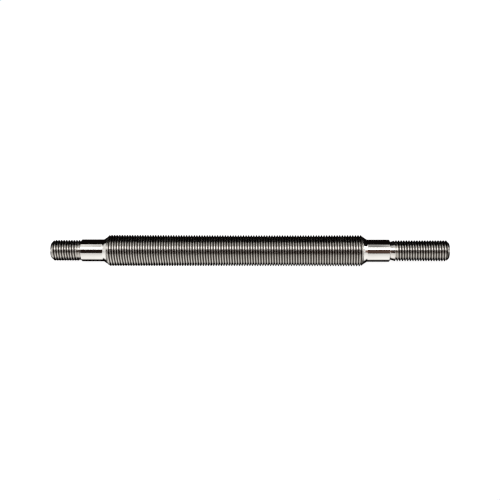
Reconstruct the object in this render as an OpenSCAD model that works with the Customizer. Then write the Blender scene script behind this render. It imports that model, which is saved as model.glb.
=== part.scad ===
// Screw shaft: one turned steel bar with a long fine main thread in the middle, a plain bearing
// journal on each side of it, and a shorter thread on each end.
//
// The bar is a single piece of metal. Each node is one turned section of it, and neighbouring
// sections meet face to face, so together they fill the bar with no gap and no overlap.
//
// Frame: the shaft's axis is X and the long end thread points to +X. Z is up. The origin is on
// the axis at half the overall length. Units are millimetres.
//
// Threads are drawn as stacked V rings with the true pitch, depth and crest flat. A helix would
// turn every flank into facets, and the rings keep the crest and the flanks as exact surfaces.

/* [Threads] */
// Pitch that all three threads share
pitch = 2; // [1.5:0.25:2.5]
// Outside diameter of the main thread
main_thread_d = 24; // [23:0.5:27]
// Outside diameter of both end threads
end_thread_d = 16; // [15.5:0.25:16.5]

/* [Lengths] */
// Length of the left end thread, with its chamfers
left_thread_len = 22; // [16:0.5:30]
// Length of the groove between the left end thread and its journal
left_relief_len = 0.9; // [0.5:0.1:3]
// Length of the left journal, with its chamfer
left_journal_len = 17.4; // [12:0.1:30]
// Length of the main thread, with its chamfers
main_thread_len = 196.7; // [80:0.1:400]
// Length of the right journal, with its chamfer
right_journal_len = 16.8; // [12:0.1:30]
// Length of the groove between the right journal and its end thread, with its run-out cone
right_relief_len = 3.5; // [2:0.5:6]
// Length of the right groove's flat bottom, at the journal; the rest is the run-out cone
right_relief_flat = 1.1; // [0.5:0.1:1.5]
// Length of the right end thread, with its chamfers
right_thread_len = 41.5; // [16:0.5:60]

/* [Journals and tapers] */
// Diameter of both ground journals
journal_d = 17; // [17:0.25:18]
// Diameter of both thread relief grooves
relief_d = 14; // [13:0.1:14]
// Chamfer on the left journal's edge at the groove
left_journal_chamfer = 1; // [0.2:0.1:1.2]
// Chamfer on the right journal's edge at the groove
right_journal_chamfer = 0.5; // [0.2:0.1:1.2]
// Angle between a taper's surface and the axis, in degrees
taper_angle = 30; // [20:1:45]

/* [Chamfers] */
// Chamfer on both ends of the main thread, at 45 degrees
main_chamfer = 1.5; // [1:0.1:2.5]
// Chamfer on the outer end of both end threads, at 45 degrees
end_chamfer = 2; // [1:0.1:3]
// Chamfer on the left end thread's edge at the groove, at 45 degrees
left_groove_chamfer = 0.5; // [0.2:0.1:0.7]
// Chamfer on the right end thread's edge at the groove, at 45 degrees
right_groove_chamfer = 0.3; // [0.2:0.1:0.7]

/* [Centre holes] */
// Diameter of the pilot hole in each end face
centre_pilot_d = 3.15; // [1.6:0.05:4]
// Diameter of the 60 degree countersink at the end face
centre_sink_d = 6.7; // [4.5:0.1:8]
// Depth of the pilot hole from the end face
centre_depth = 6.2; // [5:0.1:10]

/* [Smoothness] */
// Facets round the shaft in the preview
facets = 96; // [32:8:180]

/* [Hidden] */
$fn = facets;

// Metric 60 degree thread profile, in terms of the pitch
flank_angle = 30;
thread_depth = 0.6134 * pitch;
crest_flat = pitch / 8;
flank_run = thread_depth * tan(flank_angle);

// How far a cutting or boring shape runs past the metal
clear = 1;
// Half angle of the centre hole's countersink, and of the drill's point
sink_half_angle = 30;
drill_half_angle = 60;

journal_r = journal_d / 2;
relief_r = relief_d / 2;
main_r = main_thread_d / 2;
end_r = end_thread_d / 2;
// The taper grows from the journal to the small end of the main thread's chamfer
shoulder_r = main_r - main_chamfer;
taper_len = (shoulder_r - journal_r) / tan(taper_angle);

// Where each section starts along X
overall_len = left_thread_len + left_relief_len + left_journal_len + taper_len + main_thread_len
            + taper_len + right_journal_len + right_relief_len + right_thread_len;
x_left_thread = -overall_len / 2;
x_left_relief = x_left_thread + left_thread_len;
x_left_journal = x_left_relief + left_relief_len;
x_left_taper = x_left_journal + left_journal_len;
x_main = x_left_taper + taper_len;
x_right_taper = x_main + main_thread_len;
x_right_journal = x_right_taper + taper_len;
x_right_relief = x_right_journal + right_journal_len;
x_right_thread = x_right_relief + right_relief_len;

// Turns a profile of [radius, distance along the shaft] points about the shaft's axis, with the
// profile's zero at x on that axis
module turned(x, points) {
    translate([x, 0, 0]) rotate([0, 90, 0]) rotate_extrude() polygon(points);
}

// A plain bar from x, with a 45 degree chamfer at each end that may be zero
module blank(x, r, len, chamfer_low, chamfer_high) {
    turned(x, [[0, 0], [r - chamfer_low, 0], [r, chamfer_low],
               [r, len - chamfer_high], [r - chamfer_high, len], [0, len]]);
}

// The four corners of the thread's tooth whose middle is at z
function tooth(r, z) = [
    [r - thread_depth, z - crest_flat / 2 - flank_run],
    [r, z - crest_flat / 2],
    [r, z + crest_flat / 2],
    [r - thread_depth, z + crest_flat / 2 + flank_run]
];

// Rings of thread that fill the length from x and run past both of its ends
module rings(x, r, len) {
    count = ceil(len / pitch) + 2;
    first = (len - (count - 1) * pitch) / 2;
    teeth = [for (i = [0 : count - 1]) each tooth(r, first + i * pitch)];
    low = teeth[0][1];
    high = teeth[len(teeth) - 1][1];
    turned(x, concat([[0, low]], teeth, [[0, high]]));
}

// A threaded section: rings cut to a chamfered blank
module threaded(x, r, len, chamfer_low, chamfer_high) {
    intersection() {
        rings(x, r, len);
        blank(x, r, len, chamfer_low, chamfer_high);
    }
}

// The centre hole that opens at the end face at x; inward is 1 where the metal lies towards +X
// and -1 where it lies towards -X
module centre_hole(x, inward) {
    pilot_r = centre_pilot_d / 2;
    sink_r = centre_sink_d / 2;
    sink_len = (sink_r - pilot_r) / tan(sink_half_angle);
    point_len = pilot_r / tan(drill_half_angle);
    translate([x, 0, 0]) rotate([0, 90 * inward, 0]) rotate_extrude() polygon([
        [0, -clear], [sink_r, -clear], [sink_r, 0], [pilot_r, sink_len],
        [pilot_r, centre_depth], [0, centre_depth + point_len]
    ]);
}

module left_end_thread() {
    color([0.66, 0.65, 0.63]) difference() {
        threaded(x_left_thread, end_r, left_thread_len, end_chamfer, left_groove_chamfer);
        centre_hole(x_left_thread, 1);
    }
}

module left_thread_relief() {
    color([0.72, 0.71, 0.69]) blank(x_left_relief, relief_r, left_relief_len, 0, 0);
}

module left_journal() {
    color([0.82, 0.81, 0.79])
        blank(x_left_journal, journal_r, left_journal_len, left_journal_chamfer, 0);
}

module left_taper() {
    color([0.80, 0.79, 0.77])
        turned(x_left_taper, [[0, 0], [journal_r, 0], [shoulder_r, taper_len], [0, taper_len]]);
}

module main_thread() {
    color([0.62, 0.61, 0.59])
        threaded(x_main, main_r, main_thread_len, main_chamfer, main_chamfer);
}

module right_taper() {
    color([0.80, 0.79, 0.77])
        turned(x_right_taper, [[0, 0], [shoulder_r, 0], [journal_r, taper_len], [0, taper_len]]);
}

module right_journal() {
    color([0.82, 0.81, 0.79])
        blank(x_right_journal, journal_r, right_journal_len, 0, right_journal_chamfer);
}

module right_thread_relief() {
    run_out_r = end_r - right_groove_chamfer;
    color([0.72, 0.71, 0.69]) turned(x_right_relief, [
        [0, 0], [relief_r, 0], [relief_r, right_relief_flat],
        [run_out_r, right_relief_len], [0, right_relief_len]
    ]);
}

module right_end_thread() {
    color([0.66, 0.65, 0.63]) difference() {
        threaded(x_right_thread, end_r, right_thread_len, right_groove_chamfer, end_chamfer);
        centre_hole(x_right_thread + right_thread_len, -1);
    }
}

left_end_thread();
left_thread_relief();
left_journal();
left_taper();
main_thread();
right_taper();
right_journal();
right_thread_relief();
right_end_thread();
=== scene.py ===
import math

import bmesh
import bpy
from mathutils import Matrix, Vector


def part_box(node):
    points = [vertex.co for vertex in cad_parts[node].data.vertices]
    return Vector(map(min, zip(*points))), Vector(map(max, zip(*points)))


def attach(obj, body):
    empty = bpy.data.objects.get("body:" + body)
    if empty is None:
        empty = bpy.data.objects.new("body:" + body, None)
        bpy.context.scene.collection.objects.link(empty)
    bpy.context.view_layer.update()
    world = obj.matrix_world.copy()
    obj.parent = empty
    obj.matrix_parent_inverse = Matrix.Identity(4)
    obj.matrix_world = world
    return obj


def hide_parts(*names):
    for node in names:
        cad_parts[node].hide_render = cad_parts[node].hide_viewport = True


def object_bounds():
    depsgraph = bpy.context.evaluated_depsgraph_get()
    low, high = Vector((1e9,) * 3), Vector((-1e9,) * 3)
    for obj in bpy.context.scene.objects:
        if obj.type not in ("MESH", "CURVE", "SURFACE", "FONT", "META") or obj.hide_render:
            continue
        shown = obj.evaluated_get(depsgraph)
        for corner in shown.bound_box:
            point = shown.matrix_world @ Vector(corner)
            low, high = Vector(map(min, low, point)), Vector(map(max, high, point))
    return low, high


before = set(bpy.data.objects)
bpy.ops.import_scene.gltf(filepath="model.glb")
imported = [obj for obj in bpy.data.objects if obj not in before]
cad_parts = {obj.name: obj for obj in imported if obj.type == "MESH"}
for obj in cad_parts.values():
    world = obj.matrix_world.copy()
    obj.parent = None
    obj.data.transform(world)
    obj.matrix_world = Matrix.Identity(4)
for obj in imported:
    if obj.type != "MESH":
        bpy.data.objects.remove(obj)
cad_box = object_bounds()

MM = 0.001

# Thread form
PITCH = 2.0 * MM
THREAD_DEPTH = 0.6134 * PITCH
CREST_FLAT = PITCH / 8
FLANK_ANGLE = math.radians(30)
CREST_BREAK = 0.03 * MM
# How far the crests stay inside the stated diameter, as a cut thread's do
CREST_CLEARANCE = 0.02 * MM
# How far the turned blank runs past the crests, so that it only cuts the thread's ends
BLANK_OVERSIZE = 0.3 * MM
ROOT_ARC_STEPS = 3
# Where each helix starts, as a share of the pitch
LEFT_THREAD_PHASE = 0.5
MAIN_THREAD_PHASE = 0.35
RIGHT_THREAD_PHASE = 0.6

# Smoothness
TURN_STEPS = 80
LATHE_STEPS = 192
SHARP_ANGLE = math.radians(35)
DEGREES_PER_STEP = 12
ARC_SHARE = 0.49

# Edges
EDGE_BREAK = 0.15 * MM
TAPER_FILLET = 1.5 * MM
TAPER_FILLET_STEPS = 4
GROOVE_FILLET = 0.5 * MM
GROOVE_FILLET_STEPS = 5

# Lathe centres in the end faces
CENTRE_PILOT_R = 1.575 * MM
CENTRE_SINK_R = 3.35 * MM
CENTRE_DEPTH = 6.2 * MM
CENTRE_EDGE_BREAK = 0.1 * MM
SINK_HALF_ANGLE = math.radians(30)
DRILL_HALF_ANGLE = math.radians(60)


# ---------------------------------------------------------------- sizes read from the frame

def span(node):
    """Where a node starts and ends along X."""
    low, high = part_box(node)
    return low[0], high[0]


def radius(node):
    """A node's largest radius about X."""
    low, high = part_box(node)
    return (high[2] - low[2]) / 2


END_R = radius("right_end_thread")
MAIN_R = radius("main_thread")
JOURNAL_R = radius("right_journal")
RELIEF_R = radius("left_thread_relief")
SHOULDER_R = radius("right_taper")
MAIN_CHAMFER = MAIN_R - SHOULDER_R
END_CHAMFER = 2.0 * MM
LEFT_GROOVE_CHAMFER = 0.5 * MM
RIGHT_GROOVE_CHAMFER = END_R - radius("right_thread_relief")
RIGHT_RELIEF_FLAT = 1.1 * MM
# The left groove has no run-out cone, and has this level stretch in its place
LEFT_RELIEF_STEP = 0.1 * MM
LEFT_JOURNAL_CHAMFER = 1.0 * MM
RIGHT_JOURNAL_CHAMFER = 0.5 * MM


# ---------------------------------------------------------------- outlines

def rounded(points):
    """An outline from [x, r, corner radius] points, with an arc at each corner that has a radius."""
    out = []
    for i, (x, r, fillet) in enumerate(points):
        here = Vector((x, r))
        if not fillet:
            out.append(here)
            continue
        before = Vector(points[i - 1][:2]) - here
        after = Vector(points[i + 1][:2]) - here
        half = before.angle(after) / 2
        reach = fillet / math.tan(half)
        # An arc takes less than half of either side
        reach = min(reach, before.length * ARC_SHARE, after.length * ARC_SHARE)
        fillet = reach * math.tan(half)
        start = here + before.normalized() * reach
        end = here + after.normalized() * reach
        centre = here + (before.normalized() + after.normalized()).normalized() * fillet / math.sin(half)
        steps = max(2, round(math.degrees(math.pi - 2 * half) / DEGREES_PER_STEP))
        a, b = start - centre, end - centre
        turn = a.angle_signed(b)
        for k in range(steps + 1):
            out.append(centre + Matrix.Rotation(-turn * k / steps, 2) @ a)
    return out


# ---------------------------------------------------------------- solids of revolution and threads

def finish_mesh(name, bm):
    """A smooth shaded object from a bmesh, with its sharp edges kept."""
    bmesh.ops.recalc_face_normals(bm, faces=bm.faces)
    mesh = bpy.data.meshes.new(name)
    bm.to_mesh(mesh)
    bm.free()
    mesh.polygons.foreach_set("use_smooth", [True] * len(mesh.polygons))
    mesh.set_sharp_from_angle(angle=SHARP_ANGLE)
    obj = bpy.data.objects.new(name, mesh)
    bpy.context.scene.collection.objects.link(obj)
    return obj


def lathe(name, outline, steps=LATHE_STEPS):
    """Turns an outline that starts and ends on the axis into a closed solid about X."""
    bm = bmesh.new()
    rings = []
    for x, r in outline:
        if r < 1e-9:
            rings.append([bm.verts.new((x, 0, 0))])
            continue
        turns = [2 * math.pi * k / steps for k in range(steps)]
        rings.append([bm.verts.new((x, r * math.cos(t), r * math.sin(t))) for t in turns])
    for low, high in zip(rings, rings[1:]):
        for k in range(steps):
            n = (k + 1) % steps
            if len(low) == 1:
                bm.faces.new((low[0], high[n], high[k]))
            elif len(high) == 1:
                bm.faces.new((low[k], low[n], high[0]))
            else:
                bm.faces.new((low[k], low[n], high[n], high[k]))
    return finish_mesh(name, bm)


def tooth(crest_r):
    """One pitch of the thread as (x, r) points, from root to root with the crest in the middle."""
    flank_run = THREAD_DEPTH * math.tan(FLANK_ANGLE)
    half_crest = CREST_FLAT / 2
    half_root = PITCH / 2 - half_crest - flank_run
    root_r = crest_r - THREAD_DEPTH
    # The root arc meets both flanks on a tangent
    arc_r = half_root / math.tan(math.pi / 4 - FLANK_ANGLE / 2)
    right = []
    for k in range(ROOT_ARC_STEPS + 1):
        a = (math.pi / 2 - FLANK_ANGLE) * k / ROOT_ARC_STEPS
        right.append((PITCH / 2 - arc_r * math.sin(a), root_r + arc_r * (1 - math.cos(a))))
    crest = [
        (half_crest + CREST_BREAK * math.sin(FLANK_ANGLE), crest_r - CREST_BREAK * math.cos(FLANK_ANGLE)),
        (half_crest - CREST_BREAK, crest_r),
    ]
    right = right[1:] + crest
    left = [(-x, r) for x, r in right]
    return left + list(reversed(right)) + [(PITCH / 2, root_r)]


def helical_rod(name, crest_r, start, end, phase):
    """A closed right-hand threaded rod about X that runs at least a pitch past start and end."""
    bm = bmesh.new()
    form = tooth(crest_r)
    turns = math.ceil((end - start) / PITCH) + 5
    first = start - 3 * PITCH + phase * PITCH
    columns = []
    for k in range(TURN_STEPS):
        share = k / TURN_STEPS
        angle = 2 * math.pi * share
        column = []
        for n in range(turns):
            for x, r in form:
                along = first + (n + share) * PITCH + x
                column.append(bm.verts.new((along, r * math.cos(angle), r * math.sin(angle))))
        columns.append(column)
    per_turn = len(form)
    for k in range(TURN_STEPS - 1):
        a, b = columns[k], columns[k + 1]
        for i in range(len(a) - 1):
            bm.faces.new((a[i], b[i], b[i + 1], a[i + 1]))
    # The last column meets the first one a turn further on
    a, b = columns[-1], columns[0]
    for i in range(len(a) - per_turn - 1):
        bm.faces.new((a[i], b[i + per_turn], b[i + per_turn + 1], a[i + 1]))
    # Both ends close on a point of the axis
    middle = (start + end) / 2
    for side in (-1, 1):
        rim = [e for e in bm.edges if e.is_boundary and (e.verts[0].co.x - middle) * side > 0]
        reach = [v.co.x for e in rim for v in e.verts]
        tip = bm.verts.new((sum(reach) / len(reach) + side * PITCH, 0, 0))
        for e in rim:
            bm.faces.new((e.verts[0], e.verts[1], tip))
    return finish_mesh(name, bm)


def cut_to(rod, blank):
    """Keeps only the part of the rod that lies inside the blank, and removes the blank."""
    cut = rod.modifiers.new("blank", "BOOLEAN")
    cut.operation = "INTERSECT"
    cut.solver = "MANIFOLD"
    cut.object = blank
    graph = bpy.context.evaluated_depsgraph_get()
    mesh = bpy.data.meshes.new_from_object(rod.evaluated_get(graph), depsgraph=graph)
    old = rod.data
    rod.modifiers.clear()
    rod.data = mesh
    bpy.data.meshes.remove(old)
    blank_mesh = blank.data
    bpy.data.objects.remove(blank)
    bpy.data.meshes.remove(blank_mesh)
    mesh.name = rod.name
    mesh.polygons.foreach_set("use_smooth", [True] * len(mesh.polygons))
    mesh.set_sharp_from_angle(angle=SHARP_ANGLE)
    return rod


def threaded(name, crest_r, outline, phase):
    """A helical thread cut to a turned blank with the given outline."""
    places = [x for x, r in outline]
    rod = helical_rod(name, crest_r - CREST_CLEARANCE, min(places), max(places), phase)
    return cut_to(rod, lathe(name + "_blank", outline))


# ---------------------------------------------------------------- materials

# How fast a tool mark changes round the bar, and how close the stains are, both per metre
MARK_WANDER = 60.0
STAINS_PER_METRE = 90.0
BUMP_STRENGTH = 0.35
# How far the painted shade in the thread valleys goes towards the dark colour at full thread depth
VALLEY_PAINTED_SHADE = 0.95


def steel(name, colour, dark, roughness, marks_per_mm, mark_depth, painted_valley_shade=None):
    """Bare steel with tool marks round the axis, faint stains, and painted shade in the thread valleys if
    asked.
    """
    mat = bpy.data.materials.new(name)
    mat.use_nodes = True
    tree = mat.node_tree
    nodes, links = tree.nodes, tree.links
    shader = nodes["Principled BSDF"]
    shader.inputs["Metallic"].default_value = 1.0

    def math_node(kind, first, second):
        node = nodes.new("ShaderNodeMath")
        node.operation = kind
        for socket, value in zip(node.inputs, (first, second)):
            if isinstance(value, (int, float)):
                socket.default_value = value
            elif value is not None:
                links.new(value, socket)
        return node.outputs[0]

    def noise(vector, scale, detail):
        node = nodes.new("ShaderNodeTexNoise")
        node.inputs["Scale"].default_value = scale
        node.inputs["Detail"].default_value = detail
        links.new(vector, node.inputs["Vector"])
        return node.outputs["Fac"]

    def spread(value, low, high, to_low, to_high):
        node = nodes.new("ShaderNodeMapRange")
        links.new(value, node.inputs["Value"])
        for key, number in (("From Min", low), ("From Max", high), ("To Min", to_low), ("To Max", to_high)):
            node.inputs[key].default_value = number
        return node.outputs["Result"]

    position = nodes.new("ShaderNodeTexCoord").outputs["Object"]
    parts = nodes.new("ShaderNodeSeparateXYZ")
    links.new(position, parts.inputs[0])
    along, across, up = parts.outputs
    square = math_node("ADD", math_node("MULTIPLY", across, across), math_node("MULTIPLY", up, up))
    out = math_node("SQRT", square, None)

    # Tool marks follow the tool's path over the surface: along the bar, and inwards on a face
    path = math_node("ADD", along, out)
    turned = nodes.new("ShaderNodeCombineXYZ")
    links.new(math_node("MULTIPLY", path, marks_per_mm / MM), turned.inputs[0])
    links.new(math_node("MULTIPLY", across, MARK_WANDER), turned.inputs[1])
    links.new(math_node("MULTIPLY", up, MARK_WANDER), turned.inputs[2])
    marks = noise(turned.outputs[0], scale=1.0, detail=3.0)
    stains = noise(position, scale=STAINS_PER_METRE, detail=4.0)

    # Roughness wavers with the tool marks and rises where the steel is stained
    rough = math_node("ADD", spread(marks, 0.3, 0.7, -0.03, 0.04), spread(stains, 0.35, 0.75, 0.0, 0.06))
    links.new(math_node("ADD", rough, roughness), shader.inputs["Roughness"])

    tone = nodes.new("ShaderNodeMix")
    tone.data_type = "RGBA"
    tone.inputs["A"].default_value = (*colour, 1)
    tone.inputs["B"].default_value = (*dark, 1)
    stain_and_painted_shade = spread(stains, 0.45, 0.8, 0.0, 0.22)
    if painted_valley_shade:
        # Painted shade in the thread valleys, deepening with the depth below the turned blank, whose radius
        # falls off over the chamfers
        crest_r, chamfer, low, high, most = painted_valley_shade
        off_middle = math_node("ABSOLUTE", math_node("SUBTRACT", along, (low + high) / 2), None)
        from_end = math_node("SUBTRACT", (high - low) / 2, off_middle)
        blank_r = math_node("MINIMUM", math_node("ADD", from_end, crest_r - chamfer), crest_r)
        depth = math_node("SUBTRACT", blank_r, out)
        shade = spread(depth, 0.0, THREAD_DEPTH, 0.0, most)
        # The painted valley shade joins the stains in one mix factor
        stain_and_painted_shade = math_node("MAXIMUM", stain_and_painted_shade, shade)
    links.new(stain_and_painted_shade, tone.inputs["Factor"])
    links.new(tone.outputs["Result"], shader.inputs["Base Color"])

    bump = nodes.new("ShaderNodeBump")
    bump.inputs["Strength"].default_value = BUMP_STRENGTH
    bump.inputs["Distance"].default_value = mark_depth
    links.new(marks, bump.inputs["Height"])
    links.new(bump.outputs["Normal"], shader.inputs["Normal"])
    return mat


def thread_steel(node, chamfer):
    """Cut thread steel: painted shade darkens the valleys towards their roots, so the crests stay brighter.
    """
    low, high = span(node)
    # The dark colour serves both the stains and the painted shade in the valleys
    return steel(
        node + "_steel", colour=(0.72, 0.70, 0.67), dark=(0.05, 0.04, 0.035), roughness=0.18,
        marks_per_mm=12, mark_depth=0.6e-6,
        painted_valley_shade=(radius(node), chamfer, low, high, VALLEY_PAINTED_SHADE),
    )


ground_steel = steel(
    "ground_steel", colour=(0.80, 0.79, 0.77), dark=(0.58, 0.55, 0.53), roughness=0.05,
    marks_per_mm=25, mark_depth=0.15e-6,
)
relief_steel = steel(
    "relief_steel", colour=(0.74, 0.72, 0.70), dark=(0.40, 0.36, 0.34), roughness=0.14,
    marks_per_mm=8, mark_depth=0.8e-6,
)


# ---------------------------------------------------------------- the bar's sections

def place(obj, node, material):
    """Gives a section its material and puts it in its node's place."""
    obj.data.materials.clear()
    obj.data.materials.append(material)
    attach(obj, "root")
    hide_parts(node)


def centre_hole(face, inward):
    """Outline of the lathe centre in the end face, from its tip on the axis to the face's edge."""
    sink_len = (CENTRE_SINK_R - CENTRE_PILOT_R) / math.tan(SINK_HALF_ANGLE)
    tip = CENTRE_DEPTH + CENTRE_PILOT_R / math.tan(DRILL_HALF_ANGLE)
    return [
        (face + inward * tip, 0, 0),
        (face + inward * CENTRE_DEPTH, CENTRE_PILOT_R, 0),
        (face + inward * sink_len, CENTRE_PILOT_R, 0),
        (face, CENTRE_SINK_R, CENTRE_EDGE_BREAK),
    ]


def end_thread(node, outer, inner, groove_chamfer, phase):
    """A threaded stub: a centre hole, a chamfered start, and a small chamfer at the groove."""
    inward = 1 if inner > outer else -1
    outline = centre_hole(outer, inward) + [
        (outer, END_R - END_CHAMFER, EDGE_BREAK),
        (outer + inward * (END_CHAMFER + BLANK_OVERSIZE), END_R + BLANK_OVERSIZE, 0),
        (inner - inward * (groove_chamfer + BLANK_OVERSIZE), END_R + BLANK_OVERSIZE, 0),
        (inner, END_R - groove_chamfer, 0),
        (inner, 0, 0),
    ]
    obj = threaded(node + "_helix", END_R, rounded(outline), phase)
    place(obj, node, thread_steel(node, END_CHAMFER))


def journal(node, groove, cone, chamfer):
    """A ground journal, with a chamfer at the relief groove and a plain edge at the cone."""
    inward = 1 if cone > groove else -1
    outline = [
        (groove, 0, 0),
        (groove, JOURNAL_R - chamfer, EDGE_BREAK / 2),
        (groove + inward * chamfer, JOURNAL_R, EDGE_BREAK),
        (cone, JOURNAL_R, 0),
        (cone, 0, 0),
    ]
    obj = lathe(node + "_ground", rounded(outline))
    place(obj, node, ground_steel)


def taper(node, small, big):
    """A turned cone that leaves the journal on a fillet and meets the main thread's chamfer."""
    inward = 1 if big > small else -1
    arc = math.atan((SHOULDER_R - JOURNAL_R) / abs(big - small))
    outline = [(small, 0)]
    for k in range(TAPER_FILLET_STEPS + 1):
        a = arc * k / TAPER_FILLET_STEPS
        x = TAPER_FILLET * math.sin(a)
        outline.append((small + inward * x, JOURNAL_R + TAPER_FILLET * (1 - math.cos(a))))
    outline += [(big, SHOULDER_R), (big, 0)]
    obj = lathe(node + "_turned", outline)
    place(obj, node, ground_steel)


def relief(node, thread_side, journal_side, journal_edge_r, run_out_r, flat):
    """A relief groove: a run-out cone from the thread, a flat, and a fillet up to the journal."""
    inward = 1 if journal_side > thread_side else -1
    rise = min(GROOVE_FILLET, journal_edge_r - RELIEF_R)
    outline = [(thread_side, 0), (thread_side, run_out_r), (journal_side - inward * flat, RELIEF_R)]
    for k in range(GROOVE_FILLET_STEPS + 1):
        a = math.pi / 2 * k / GROOVE_FILLET_STEPS
        x = journal_side - inward * rise * (1 - math.sin(a))
        outline.append((x, RELIEF_R + rise * (1 - math.cos(a))))
    outline.append((journal_side, 0))
    obj = lathe(node + "_turned", outline)
    place(obj, node, relief_steel)


def main_thread():
    """The long main thread, chamfered past its root at both ends."""
    start, end = span("main_thread")
    outline = [
        (start, 0, 0),
        (start, SHOULDER_R, 0),
        (start + MAIN_CHAMFER + BLANK_OVERSIZE, MAIN_R + BLANK_OVERSIZE, 0),
        (end - MAIN_CHAMFER - BLANK_OVERSIZE, MAIN_R + BLANK_OVERSIZE, 0),
        (end, SHOULDER_R, 0),
        (end, 0, 0),
    ]
    obj = threaded("main_thread_helix", MAIN_R, rounded(outline), MAIN_THREAD_PHASE)
    place(obj, "main_thread", thread_steel("main_thread", MAIN_CHAMFER))


left_low, left_high = span("left_end_thread")
right_low, right_high = span("right_end_thread")
end_thread("left_end_thread", left_low, left_high, LEFT_GROOVE_CHAMFER, LEFT_THREAD_PHASE)
end_thread("right_end_thread", right_high, right_low, RIGHT_GROOVE_CHAMFER, RIGHT_THREAD_PHASE)
main_thread()
journal("left_journal", span("left_journal")[0], span("left_journal")[1], LEFT_JOURNAL_CHAMFER)
journal("right_journal", span("right_journal")[1], span("right_journal")[0], RIGHT_JOURNAL_CHAMFER)
taper("left_taper", span("left_taper")[0], span("left_taper")[1])
taper("right_taper", span("right_taper")[1], span("right_taper")[0])
groove_low, groove_high = span("left_thread_relief")
relief(
    "left_thread_relief", groove_low, groove_high, JOURNAL_R - LEFT_JOURNAL_CHAMFER,
    RELIEF_R, groove_high - groove_low - LEFT_RELIEF_STEP,
)
groove_low, groove_high = span("right_thread_relief")
relief(
    "right_thread_relief", groove_high, groove_low, JOURNAL_R - RIGHT_JOURNAL_CHAMFER,
    END_R - RIGHT_GROOVE_CHAMFER, RIGHT_RELIEF_FLAT,
)


# ---------------------------------------------------------------- studio

# All in metres. A hanging card keeps its distance from the shaft's axis at both of its edges
CARD_DISTANCE = 0.9
CARD_HALF_WIDTH = 2.4
FLOOR_CARD_HALF_WIDTH = 0.9
FLOOR_CARD_DROP = 0.2 * MM
SIDE_CARD_DISTANCE = 2.5
SIDE_CARD_HALF_WIDTH = 1.0
SIDE_CARD_TOP = 1.2
SIDE_CARD_BRIGHTNESS = 0.9
FLOOR_Z = cad_box[0][2]
FLOOR_SIZE = 6.0

# Colours and brightness of the studio
WARM_WHITE = (1, 0.985, 0.95)
WARM_BROWN = (1, 0.60, 0.45)
FLOOR_COLOUR = (0.92, 0.91, 0.90, 1)
FLOOR_GLOW = 1.06
FLOOR_GLOW_SHARE = 0.85
SUN_STRENGTH = 6.4
SUN_HEIGHT = 38
SUN_ANGLE = math.radians(25)
ROOM_BEHIND = (0.004, 0.003, 0.003, 1)
ROOM_IN_FRONT = (0.045, 0.028, 0.020, 1)


def toward(bearing, height):
    """The unit direction at a bearing from the front and a height above the horizon, in degrees."""
    turn, rise = math.radians(bearing), math.radians(height)
    return Vector((math.sin(turn) * math.cos(rise), -math.cos(turn) * math.cos(rise), math.sin(rise)))


def sheet(name, corners, material):
    """A flat four-cornered piece of the studio, with its corners as UVs."""
    mesh = bpy.data.meshes.new(name)
    bm = bmesh.new()
    face = bm.faces.new([bm.verts.new(c) for c in corners])
    layer = bm.loops.layers.uv.new("place")
    for loop, uv in zip(face.loops, ((0, 0), (1, 0), (1, 1), (0, 1))):
        loop[layer].uv = uv
    bm.to_mesh(mesh)
    bm.free()
    mesh.materials.append(material)
    obj = bpy.data.objects.new(name, mesh)
    bpy.context.scene.collection.objects.link(obj)
    return obj


def glow(name, stops, axis, colour):
    """A light card's material: its brightness goes through the stops along U (0) or V (1)."""
    mat = bpy.data.materials.new(name)
    mat.use_nodes = True
    nodes, links = mat.node_tree.nodes, mat.node_tree.links
    nodes.clear()
    corners = nodes.new("ShaderNodeUVMap")
    corners.uv_map = "place"
    parts = nodes.new("ShaderNodeSeparateXYZ")
    links.new(corners.outputs[0], parts.inputs[0])
    ramp = nodes.new("ShaderNodeFloatCurve")
    curve = ramp.mapping.curves[0]
    top = max(value for _, value in stops)
    for point, (at, value) in zip(curve.points, (stops[0], stops[-1])):
        point.location = (at, value / top)
        point.handle_type = "VECTOR"
    for at, value in stops[1:-1]:
        curve.points.new(at, value / top).handle_type = "VECTOR"
    ramp.mapping.update()
    links.new(parts.outputs[axis], ramp.inputs["Value"])
    scale = nodes.new("ShaderNodeMath")
    scale.operation = "MULTIPLY"
    scale.inputs[1].default_value = top
    links.new(ramp.outputs[0], scale.inputs[0])
    light = nodes.new("ShaderNodeEmission")
    light.inputs["Color"].default_value = (*colour, 1)
    links.new(scale.outputs[0], light.inputs["Strength"])
    out = nodes.new("ShaderNodeOutputMaterial")
    links.new(light.outputs[0], out.inputs["Surface"])
    return mat


def reflected_only(obj):
    """A card that only shows in the metal, as a flag or reflector outside the picture does."""
    obj.visible_camera = False
    obj.visible_diffuse = False
    obj.visible_shadow = False


def hanging_card(name, low, high, stops, colour=(1, 1, 1)):
    """A card facing the shaft, between two heights in degrees, with stops of brightness along X."""
    lower, upper = toward(0, low) * CARD_DISTANCE, toward(0, high) * CARD_DISTANCE
    side = Vector((CARD_HALF_WIDTH, 0, 0))
    obj = sheet(name, (lower - side, lower + side, upper + side, upper - side), glow(name, stops, 0, colour))
    reflected_only(obj)


def floor_card(name, near, far, stops, colour):
    """A card on the floor beside the shaft, with stops of brightness from near to far."""
    side = FLOOR_CARD_HALF_WIDTH
    z = FLOOR_Z - FLOOR_CARD_DROP
    corners = ((-side, near, z), (side, near, z), (side, far, z), (-side, far, z))
    obj = sheet(name, corners, glow(name, stops, 1, colour))
    reflected_only(obj)


def side_card(name, x, brightness, colour):
    """An upright, evenly lit card beyond one end of the shaft, seen mostly in the chamfers."""
    side, top = SIDE_CARD_HALF_WIDTH, SIDE_CARD_TOP
    corners = ((x, -side, FLOOR_Z), (x, side, FLOOR_Z), (x, side, top), (x, -side, top))
    obj = sheet(name, corners, glow(name, ((0, brightness), (1, brightness)), 1, colour))
    reflected_only(obj)


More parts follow.
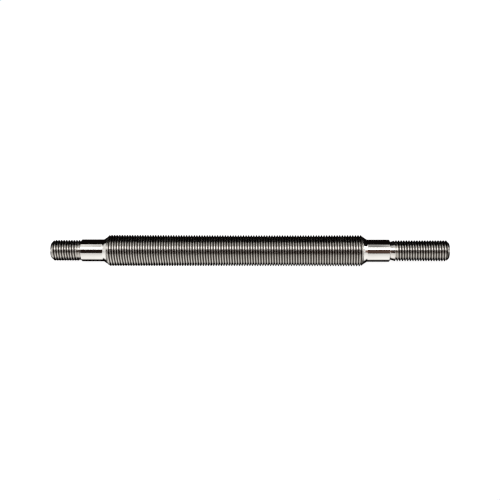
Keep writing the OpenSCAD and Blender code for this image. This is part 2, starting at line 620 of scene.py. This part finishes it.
def floor_paint():
    """Matt pale paint. The camera sees it mixed with an even glow, which keeps shadows faint."""
    mat = bpy.data.materials.new("floor_paint")
    mat.use_nodes = True
    nodes, links = mat.node_tree.nodes, mat.node_tree.links
    shader = nodes["Principled BSDF"]
    shader.inputs["Base Color"].default_value = FLOOR_COLOUR
    shader.inputs["Roughness"].default_value = 1.0
    shader.inputs["Specular IOR Level"].default_value = 0.0
    even = nodes.new("ShaderNodeEmission")
    even.inputs["Strength"].default_value = FLOOR_GLOW
    rays = nodes.new("ShaderNodeLightPath")
    share = nodes.new("ShaderNodeMath")
    share.operation = "MULTIPLY"
    share.inputs[1].default_value = FLOOR_GLOW_SHARE
    links.new(rays.outputs["Is Camera Ray"], share.inputs[0])
    mix = nodes.new("ShaderNodeMixShader")
    links.new(share.outputs[0], mix.inputs[0])
    links.new(shader.outputs[0], mix.inputs[1])
    links.new(even.outputs[0], mix.inputs[2])
    links.new(mix.outputs[0], nodes["Material Output"].inputs["Surface"])
    return mat


def studio_world():
    """The camera sees a white room. The metal sees a dark one, brown in front and black behind."""
    world = bpy.data.worlds.new("studio")
    bpy.context.scene.world = world
    world.use_nodes = True
    nodes, links = world.node_tree.nodes, world.node_tree.links
    backdrop = nodes["Background"]
    backdrop.inputs["Color"].default_value = (1, 1, 1, 1)
    direction = nodes.new("ShaderNodeTexCoord")
    parts = nodes.new("ShaderNodeSeparateXYZ")
    links.new(direction.outputs["Generated"], parts.inputs[0])
    forward = nodes.new("ShaderNodeMapRange")
    forward.inputs["From Min"].default_value = 0.1
    forward.inputs["From Max"].default_value = -0.5
    links.new(parts.outputs["Y"], forward.inputs["Value"])
    tone = nodes.new("ShaderNodeMix")
    tone.data_type = "RGBA"
    tone.inputs["A"].default_value = ROOM_BEHIND
    tone.inputs["B"].default_value = ROOM_IN_FRONT
    links.new(forward.outputs["Result"], tone.inputs["Factor"])
    room = nodes.new("ShaderNodeBackground")
    links.new(tone.outputs["Result"], room.inputs["Color"])
    rays = nodes.new("ShaderNodeLightPath")
    either = nodes.new("ShaderNodeMixShader")
    links.new(rays.outputs["Is Camera Ray"], either.inputs[0])
    links.new(room.outputs[0], either.inputs[1])
    links.new(backdrop.outputs[0], either.inputs[2])
    links.new(either.outputs[0], nodes["World Output"].inputs["Surface"])


def floor_sun():
    """A soft sun that lights the floor from the front and doesn't show in the metal."""
    sun = bpy.data.lights.new("floor_light", "SUN")
    sun.energy = SUN_STRENGTH
    sun.angle = SUN_ANGLE
    obj = bpy.data.objects.new("floor_light", sun)
    obj.rotation_euler = toward(0, SUN_HEIGHT).to_track_quat("Z", "Y").to_euler()
    obj.visible_glossy = False
    bpy.context.scene.collection.objects.link(obj)


floor = sheet("floor", (
    (-FLOOR_SIZE, -FLOOR_SIZE, FLOOR_Z), (FLOOR_SIZE, -FLOOR_SIZE, FLOOR_Z),
    (FLOOR_SIZE, FLOOR_SIZE, FLOOR_Z), (-FLOOR_SIZE, FLOOR_SIZE, FLOOR_Z)), floor_paint())
floor.visible_glossy = False

# A hanging card's stops run from its -X end to its +X end, a floor card's from near to far
hanging_card("front_softbox", 39, 60, (
    (0, 0.3), (0.18, 0.8), (0.35, 2.8), (0.65, 2.8), (0.82, 2.6), (1, 2.4)))
hanging_card("top_softbox", 62, 83, (
    (0, 1.2), (0.18, 1.4), (0.36, 1.6), (0.43, 0.8), (0.49, 0.6), (0.55, 0.27), (0.63, 1.8),
    (0.82, 2.6), (1, 2.4)), WARM_WHITE)
hanging_card("overhead_strip", 84, 93, (
    (0, 0.8), (0.18, 1.4), (0.36, 1.8), (0.43, 0.9), (0.49, 0.8), (0.55, 0.45), (0.63, 2.0),
    (0.82, 2.6), (1, 2.4)), WARM_WHITE)
hanging_card("room_wall", 0, 38, (
    (0, 0.09), (0.18, 0.08), (0.43, 0.012), (0.49, 0.06), (0.55, 0.09), (0.82, 0.26), (1, 0.26)),
    WARM_BROWN)
# The dim first stop of each floor card, next to the shaft, is a painted shadow: the shaft's own shadow on
# the floor, as the metal sees it
floor_card("front_floor_card", -0.008, -0.5, (
    (0, 0.12), (0.005, 1.2), (0.05, 1.0), (0.12, 0.85), (1, 0.7)), WARM_WHITE)
floor_card("back_floor_card", 0.008, 0.040, ((0, 0.12), (0.06, 1.1), (1, 1.0)), WARM_WHITE)
side_card("left_side_card", -SIDE_CARD_DISTANCE, SIDE_CARD_BRIGHTNESS, WARM_WHITE)
side_card("right_side_card", SIDE_CARD_DISTANCE, SIDE_CARD_BRIGHTNESS, WARM_WHITE)

floor_sun()
studio_world()
bpy.context.scene.view_settings.view_transform = "Standard"
# These two keep the thread teeth sharp on the outline
bpy.context.scene.cycles.denoising_prefilter = "FAST"
bpy.context.scene.cycles.filter_width = 1.25


# ---------------------------------------------------------------- camera

# Degrees from the front and above the floor
CAMERA_BEARING = 2.3
CAMERA_HEIGHT = 28
CAMERA_ROLL = math.radians(-1.0)
CAMERA_DISTANCE = 0.65
CAMERA_LENS = 60.7
AIM = Vector((1.0 * MM, 0, 0.5 * MM))

camera_data = bpy.data.cameras.new("camera")
camera_data.lens = CAMERA_LENS
camera_data.clip_start = 0.01
camera_data.clip_end = 50
camera = bpy.data.objects.new("camera", camera_data)
bpy.context.scene.collection.objects.link(camera)
back = toward(CAMERA_BEARING, CAMERA_HEIGHT)
rotation = back.to_track_quat("Z", "Y").to_matrix().to_4x4() @ Matrix.Rotation(CAMERA_ROLL, 4, "Z")
camera.matrix_world = Matrix.Translation(AIM + back * CAMERA_DISTANCE) @ rotation
bpy.context.scene.camera = camera
